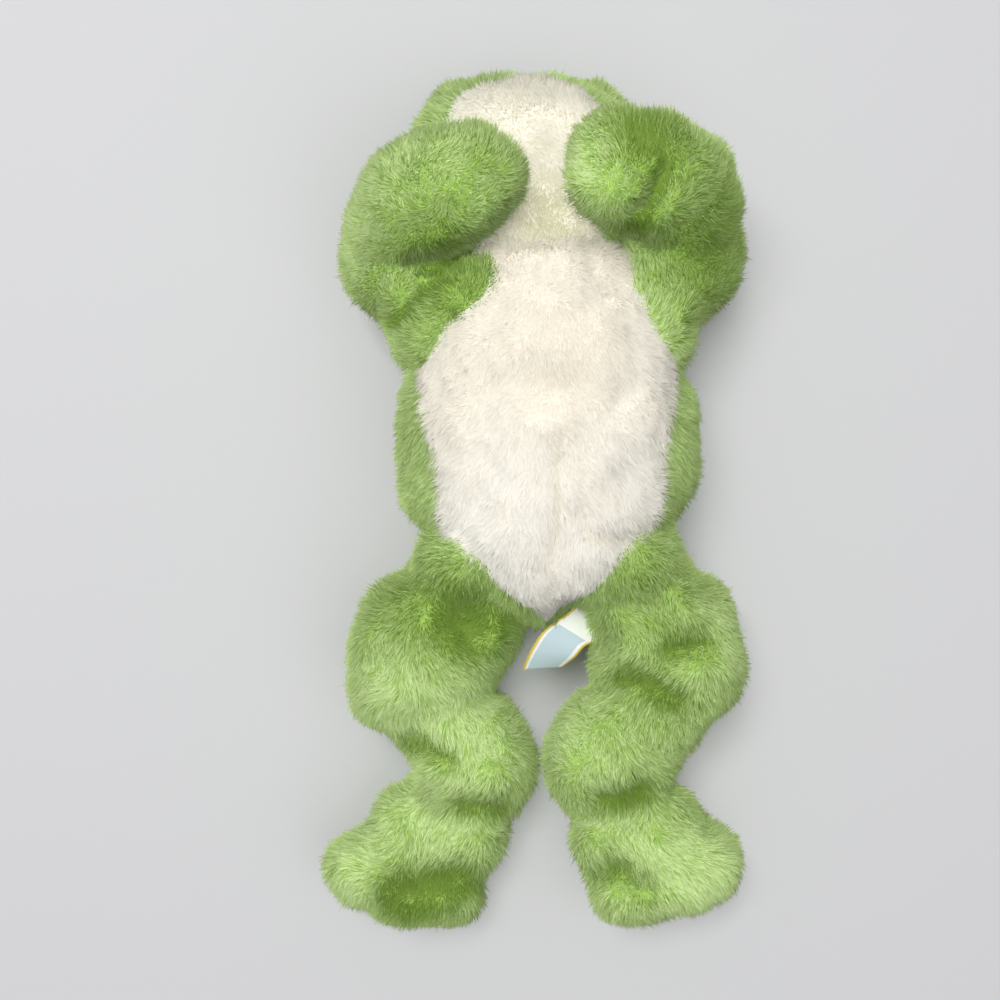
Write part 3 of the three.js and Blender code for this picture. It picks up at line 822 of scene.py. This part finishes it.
def on_cream(points, middle, length, width, height, turns):
    along = (points[:, 1] - middle.y) / length + 0.5
    beside = np.abs(points[:, 0] - middle.x) / width
    turn = np.degrees(np.arctan2((points[:, 2] - middle.z) / height, beside))
    return turn > spline(turns, along)[:, 0] + rng.normal(0, SEAM_BLUR, len(points))


def belly_side(points):
    return on_cream(points, TORSO_MIDDLE, TORSO_LENGTH, TORSO_WIDTH, TORSO_HEIGHT, BELLY_SEAM_TURNS)


def chin_side(points):
    return on_cream(points, HEAD_MIDDLE, HEAD_LENGTH, HEAD_WIDTH, HEAD_HEIGHT, CHIN_SEAM_TURNS)


def two_cloths(piece, cream_side):
    """Gives a cover its two cloths, face by face. The cream one stands a little higher."""
    co, normal = read(piece.data, "vertices", "co"), read(piece.data, "vertices", "normal")
    co += normal * (cream_side(co) * CREAM_RISE)[:, None]
    piece.data.vertices.foreach_set("co", co.astype(np.float32).ravel())
    piece.data.update()
    piece.data.materials.append(green_cloth)
    piece.data.materials.append(cream_cloth)
    centres = read(piece.data, "polygons", "center")
    piece.data.polygons.foreach_set("material_index", cream_side(centres).astype(np.int32))


two_cloths(torso_cover, belly_side)
two_cloths(head_cover, chin_side)

# %% [markdown]
# ## Setting a piece in place
# A piece hides the solids that it dresses and hangs from the body that it moves with. A piece
# that spans a joint is set into the frame where it lies instead. One helper does both.


# %% Declaring a piece
def declare(piece, nodes, body, span=None):
    """Hides the solids a piece dresses; hangs it from its body, or sets it in place for a span."""
    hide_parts(*nodes)
    if span:
        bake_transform(piece)
    else:
        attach(piece, body)


# %% [markdown]
# ## Pile of the torso
# The belly's pile falls towards the legs and a little out from the middle seam. It is
# darker and more beige towards the chest, has painted shade along the middle seam and the
# crease across it, and is shorter at the crotch. It keeps clear of the limbs that lie on it.
# Both cloths are split at the middle into a left and a right piece, to keep each piece light.

# %% Torso pile
GREEN_LENGTH, BELLY_LENGTH, CHIN_LENGTH, MOUND_LENGTH = 5.4 * MM, 4.8 * MM, 3.6 * MM, 4.2 * MM
LIMB_MARGIN = 1.8 * MM
COMB_DOWN, COMB_OUT = 0.7, 0.5
BELLY_DARK_SPOT, THROAT_SHADE_SPOT = (6, 38, 16), (3, 88, 13)
declare(torso_cover, ("back_panel", "belly_panel", "torso_filling"), "torso")
limbs = list(arms.values()) + list(legs.values())
points, normals = cloth_points(torso_cover, limbs, 3 * MM)
cream = belly_side(points)
shown = ~(cream & buried(points, limbs, -LIMB_MARGIN))
points, normals, cream = points[shown], normals[shown], cream[shown]
beside = points[:, 0] - TORSO_MIDDLE.x
comb = np.zeros((len(points), 3))
comb[:, 1] = -COMB_DOWN
comb[:, 0] = np.clip(beside / (30 * MM), -1, 1) * COMB_OUT
# A darker, warmer spot round the belly's middle dimple.
belly_dark_spot = soft_spot(points, *BELLY_DARK_SPOT)
cream_tone = tone_of(points, 3, 0.66, 0.1, 0.1) - belly_dark_spot * 0.4
# The cream darkens evenly towards the chest.
cream_tone -= (points[:, 1] - 10 * MM) / (120 * MM)
# Painted shade along the middle seam and along the crease across the belly.
for crease in BELLY_CREASES[:2]:
    cream_tone -= nearness(points, crease[:3] + (2,)) * 0.5
green_tone = tone_of(points, 4) - 0.1
belly_length = BELLY_LENGTH * (1 - 0.4 * np.clip((-12 * MM - points[:, 1]) / (20 * MM), 0, 1))
for side, sign in SIDES.items():
    here = beside * sign >= 0
    on = here & cream
    pile = grow(
        f"{side}_belly_pile", points[on], normals[on], comb[on], belly_length[on],
        cream_tone[on], cream_pile, lean=1.5, pull=0.12,
    )
    declare(pile, ("belly_panel",), "torso")
    on = here & ~cream
    pile = grow(
        f"{side}_back_pile", points[on], normals[on], comb[on], GREEN_LENGTH, green_tone[on], green_pile
    )
    declare(pile, ("back_panel",), "torso")

# %% [markdown]
# ## Pile of the head
# The chin's pile is short. Down at the throat it is painted darker and yellower, as shade.
# The cover and its piles reach over the neck, from the torso into the head.

# %% Head pile
NECK_SPAN = ((TORSO_MIDDLE.x, 74 * MM, HEAD_MIDDLE.z), (TORSO_MIDDLE.x, 98 * MM, HEAD_MIDDLE.z))
HEAD_NODES = ("crown_panel", "chin_panel", "head_filling")
declare(head_cover, HEAD_NODES, "torso", NECK_SPAN)
points, normals = cloth_points(head_cover, [torso_cover] + list(arms.values()), 3 * MM)
cream = chin_side(points)
comb = np.tile(np.array([0, -0.5, 0]), (len(points), 1))
# Painted shade: round the throat the chin's pile is darker and yellower.
throat_shade = soft_spot(points, *THROAT_SHADE_SPOT)
chin_tone = tone_of(points, 5, 0.75, 0.1, 0.1) - throat_shade * 0.8
chin_hair = grow(
    "chin_hair", points[cream], normals[cream], comb[cream], CHIN_LENGTH,
    chin_tone[cream], chin_pile, lean=1.3, pull=0.1,
)
declare(chin_hair, ("chin_panel",), "torso", NECK_SPAN)
crown_hair = grow(
    "crown_hair", points[~cream], normals[~cream], comb[~cream], GREEN_LENGTH,
    tone_of(points, 6)[~cream], green_pile,
)
declare(crown_hair, ("crown_panel",), "torso", NECK_SPAN)

# %% [markdown]
# ## Pile of the limbs
# A limb's cover is cut along its lengths, not at the joints. Each piece then spans just one
# joint, and its ends lie where both neighbours move alike. An arm's cut stands nearly upright
# and close to the shoulder, because the paw folds back over the upper arm, and a cut square
# to the arm would reach it.


# %% Limb pieces
def piece_of(cover, name, cuts):
    """The part of a cover on the near side of each (point, direction) cut, closed again."""
    part = bmesh.new()
    part.from_mesh(cover.data)
    for point, direction in cuts:
        geometry = part.verts[:] + part.edges[:] + part.faces[:]
        bmesh.ops.bisect_plane(part, geom=geometry, plane_co=point, plane_no=direction, clear_outer=True)
        rim = [edge for edge in part.edges if edge.is_boundary]
        bmesh.ops.holes_fill(part, edges=rim, sides=0)
    bmesh.ops.triangulate(part, faces=[face for face in part.faces if len(face.verts) > 4])
    piece = as_object(name, part)
    piece.data.shade_smooth()
    piece.data.materials.append(green_cloth)
    return piece


def near_side(points, cuts):
    inside = np.ones(len(points), bool)
    for point, direction in cuts:
        inside &= (points - np.array(point)) @ np.array(direction) <= 0
    return inside


def limb_pieces(side, cover, creases, stages, seed):
    """stages: (node, parent body, near cut, far cut, span round the joint, comb direction)."""
    points, normals = cloth_points(cover, [torso_cover])
    # The tone takes the painted sheen and shade of the patches.
    tone = tone_of(points, seed) + painted_sheen_and_shade(points, normals)
    # Painted shade: the top of the pile is darker along each crease.
    for crease in creases:
        tone -= nearness(points, crease) * (normals[:, 2] > 0) * 0.75
    for node, parent, near, far, span, along in stages:
        cuts = []
        if near:
            cuts.append((near[0], -near[1]))
        if far:
            cuts.append(far)
        name = f"{side}_{node}"
        here = near_side(points, cuts)
        skin = piece_of(cover, name + "_cover", cuts)
        declare(skin, (name,), parent, span)
        comb = np.tile(np.array(along) * 0.6, (int(here.sum()), 1))
        hair = grow(
            name + "_pile", points[here], normals[here], comb, GREEN_LENGTH, tone[here], green_pile
        )
        declare(hair, (name,), parent, span)
    bpy.data.objects.remove(cover)


# %% Arm pieces
ARM_CUT, CUT_LEAN = 0.38, 0.1
SHOULDER_REACH, ELBOW_REACH, LEG_REACH = (9, 9.5), (1, 16), (12, 14)


def span_at(joint, coming, leaving, reach):
    """Two points, so many millimetres before and after a joint."""
    return joint - coming * reach[0] * MM, joint + leaving * reach[1] * MM


for side, sign in SIDES.items():
    shoulder, elbow = JOINTS[side + "_shoulder"], JOINTS[side + "_elbow"]
    ahead = (elbow - shoulder).normalized()
    across = Vector((ahead.x, ahead.y, CUT_LEAN)).normalized()
    cut = (shoulder.lerp(elbow, ARM_CUT), across)
    rising = heading(1, -sign, *LIES[side]["forearm"])
    fold = (ahead + rising).normalized()
    shoulder_span = span_at(shoulder, across, across, SHOULDER_REACH)
    elbow_span = span_at(elbow, fold, fold, ELBOW_REACH)
    limb_pieces(side, arms[side], ARM_CREASES[side], [
        ("upper_arm", "torso", None, cut, shoulder_span, ahead),
        ("forearm", side + "_upper_arm", cut, None, elbow_span, rising),
    ], 11)

# %% Leg pieces
for side, sign in SIDES.items():
    knee, ankle = JOINTS[side + "_knee"], JOINTS[side + "_ankle"]
    hip = hip_root(side)
    thigh_way, shin_way = (knee - hip).normalized(), (ankle - knee).normalized()
    foot_way = heading(-1, sign, *LIES[side]["instep"])
    mid_thigh, mid_shin = ((hip + knee) / 2, thigh_way), ((knee + ankle) / 2, shin_way)
    hip_span = span_at(hip, thigh_way, thigh_way, LEG_REACH)
    knee_span = span_at(knee, thigh_way, shin_way, LEG_REACH)
    ankle_span = span_at(ankle, shin_way, foot_way, LEG_REACH)
    limb_pieces(side, legs[side], LEG_CREASES[side], [
        ("thigh", "torso", None, mid_thigh, hip_span, thigh_way),
        ("shin", side + "_thigh", mid_thigh, mid_shin, knee_span, shin_way),
        ("foot", side + "_shin", mid_shin, None, ankle_span, foot_way),
    ], 12)

# %% [markdown]
# ## Pile of the eye mounds
# The mounds have the crown's green pile, a little shorter, and move with the head.

# %% Eye mound pile
for side, mound in mounds.items():
    points, normals = cloth_points(mound, [head_cover])
    comb = np.tile(np.array([0, -0.5, 0.3]), (len(points), 1))
    hair = grow(
        f"{side}_mound_pile", points, normals, comb, MOUND_LENGTH, tone_of(points, 13), green_pile
    )
    mound.data.materials.append(green_cloth)
    declare(mound, (side + "_eye_mound",), "head")
    declare(hair, (side + "_eye_mound",), "head")

# %% [markdown]
# ## Care label
# A short white ribbon is sewn into the crotch seam. It comes out from under the left thigh
# and curls down towards the right foot. Its surface runs through a few cross-sections, and
# each vert keeps its place across and along the ribbon, which the finish reads to draw the
# yellow selvedges and, on its lower half, a plain pale-blue field.

# %% Care label
LABEL_SECTIONS = [
    ((8, -27, 22), (20, -32, 22)),
    ((12, -31.5, 26), (21, -41, 24)),
    ((3.1, -38.2, 28), (15.5, -43.8, 27)),
    ((-1.7, -45.5, 26), (12.6, -47.3, 26)),
    ((-4.2, -51.9, 22), (8.8, -50.9, 22)),
]
LABEL_STEPS = 24
ribbon = bmesh.new()
across_layer = ribbon.verts.layers.float.new("across")
along_layer = ribbon.verts.layers.float.new("along")
bmesh.ops.create_grid(ribbon, x_segments=LABEL_STEPS, y_segments=LABEL_STEPS, size=0.5)
place = np.array([vert.co for vert in ribbon.verts])[:, :2] + 0.5
edges = [spline([section[k] for section in LABEL_SECTIONS], place[:, 1]) * MM for k in (0, 1)]
on_ribbon = edges[0] + (edges[1] - edges[0]) * place[:, :1]
for vert, point, (across, along) in zip(ribbon.verts, on_ribbon, place):
    vert.co = point
    vert[across_layer] = across
    vert[along_layer] = along
print("label area:", round(sum(face.calc_area() for face in ribbon.faces) / MM**2), "mm2")
bmesh.ops.solidify(ribbon, geom=ribbon.faces[:], thickness=0.25 * MM)
bmesh.ops.recalc_face_normals(ribbon, faces=ribbon.faces)
label = as_object("care_ribbon", ribbon)
label.data.shade_smooth()


# %% Label finish
def label_finish():
    """White satin with yellow selvedges and a pale-blue field, from the ribbon's own places."""
    material = cloth_finish(
        "label_cloth", linear(238, 240, 240), linear(250, 250, 248), roughness=0.5, grain=900,
        nap_depth=0.03 * MM,
    )
    nodes, links = material.node_tree.nodes, material.node_tree.links
    shader = nodes["Principled BSDF"]
    ground = shader.inputs["Base Color"].links[0].from_socket
    bands = (
        ("across", [(0, 0), (0.12, 1), (0.86, 0)], linear(196, 214, 224)),
        ("along", [(0, 1), (0.42, 0)], linear(250, 250, 248)),
        ("across", [(0, 1), (0.06, 0), (0.945, 1)], linear(226, 194, 84)),
    )
    for attribute, stops, colour in bands:
        where = nodes.new("ShaderNodeAttribute")
        where.attribute_name = attribute
        mask = ramp(nodes, [(share, (value, value, value, 1)) for share, value in stops])
        mask.color_ramp.interpolation = "CONSTANT"
        links.new(where.outputs["Fac"], mask.inputs["Fac"])
        mix = nodes.new("ShaderNodeMix")
        mix.data_type = "RGBA"
        links.new(mask.outputs["Color"], mix.inputs["Factor"])
        links.new(ground, colour_socket(mix.inputs, "A"))
        colour_socket(mix.inputs, "B").default_value = colour
        ground = colour_socket(mix.outputs, "Result")
    links.new(ground, shader.inputs["Base Color"])
    return material


label.data.materials.append(label_finish())
declare(label, ("care_label",), "torso")

# %% [markdown]
# ## Floor and light
# A plain pale floor, a broad soft lamp above the head end and an even pale surround, so
# that colours come out about as written. Away from the frog the lamps fade, which would
# leave a dark horizon in the side views. So the far floor and the surround show one pale
# grey to the camera and in mirrored light, and the light that they give stays as it was.

# %% What only the camera sees
BACKGROUND = linear(212, 212, 214)
FADE = (0.3, 1.2)


def shown_only(nodes, links):
    """1 for what the camera or a polished or clear surface sees, 0 for the light on the frog."""
    path = nodes.new("ShaderNodeLightPath")
    seen = path.outputs["Is Camera Ray"]
    for kind in ("Is Glossy Ray", "Is Transmission Ray"):
        either = nodes.new("ShaderNodeMath")
        either.operation = "MAXIMUM"
        links.new(seen, either.inputs[0])
        links.new(path.outputs[kind], either.inputs[1])
        seen = either.outputs[0]
    return seen


def fade_to_background(material, shader):
    """Lets a finish turn into the plain background between the two distances of FADE."""
    nodes, links = material.node_tree.nodes, material.node_tree.links
    place = nodes.new("ShaderNodeTexCoord")
    distance = nodes.new("ShaderNodeVectorMath")
    distance.operation = "LENGTH"
    links.new(place.outputs["Object"], distance.inputs[0])
    far = nodes.new("ShaderNodeMapRange")
    far.inputs["From Min"].default_value, far.inputs["From Max"].default_value = FADE
    links.new(distance.outputs["Value"], far.inputs["Value"])
    share = nodes.new("ShaderNodeMath")
    share.operation = "MULTIPLY"
    links.new(far.outputs["Result"], share.inputs[0])
    links.new(shown_only(nodes, links), share.inputs[1])
    glow = nodes.new("ShaderNodeEmission")
    glow.inputs["Color"].default_value = BACKGROUND
    mix = nodes.new("ShaderNodeMixShader")
    links.new(share.outputs[0], mix.inputs[0])
    links.new(shader.outputs[0], mix.inputs[1])
    links.new(glow.outputs[0], mix.inputs[2])
    links.new(mix.outputs[0], nodes["Material Output"].inputs["Surface"])


# %% Floor
floor_form = bmesh.new()
bmesh.ops.create_grid(floor_form, x_segments=1, y_segments=1, size=2)
floor = as_object("floor", floor_form)
floor_finish = bpy.data.materials.new("floor")
floor_finish.use_nodes = True
floor_shader = floor_finish.node_tree.nodes["Principled BSDF"]
floor_shader.inputs["Base Color"].default_value = linear(208, 208, 210)
floor_shader.inputs["Roughness"].default_value = 0.9
fade_to_background(floor_finish, floor_shader)
floor.data.materials.append(floor_finish)
print("floor:", [round(length, 2) for length in floor.dimensions])


# %% Lamps
def lamp(name, place, size, power):
    data = bpy.data.lights.new(name, "AREA")
    data.size = size
    data.energy = power
    light = bpy.data.objects.new(name, data)
    light.location = place
    light.rotation_euler = Vector(place).to_track_quat("Z", "Y").to_euler()
    bpy.context.scene.collection.objects.link(light)
    print(name, "lamp:", power, "W")


lamp("window", (-0.3, 0.4, 1.25), 0.7, 13.5)
lamp("fill", (0.5, -0.45, 1.1), 1.2, 3.5)

# %% Surround
world = bpy.data.worlds.new("surround")
bpy.context.scene.world = world
world.use_nodes = True
nodes, links = world.node_tree.nodes, world.node_tree.links
surround, backdrop = nodes["Background"], nodes.new("ShaderNodeBackground")
surround.inputs["Color"].default_value = (1, 1, 1, 1)
surround.inputs["Strength"].default_value = 0.3
backdrop.inputs["Color"].default_value = BACKGROUND
mix = nodes.new("ShaderNodeMixShader")
links.new(shown_only(nodes, links), mix.inputs[0])
links.new(surround.outputs[0], mix.inputs[1])
links.new(backdrop.outputs[0], mix.inputs[2])
links.new(mix.outputs[0], nodes["World Output"].inputs["Surface"])
bpy.context.scene.view_settings.view_transform = "Standard"
print("surround strength:", surround.inputs["Strength"].default_value)
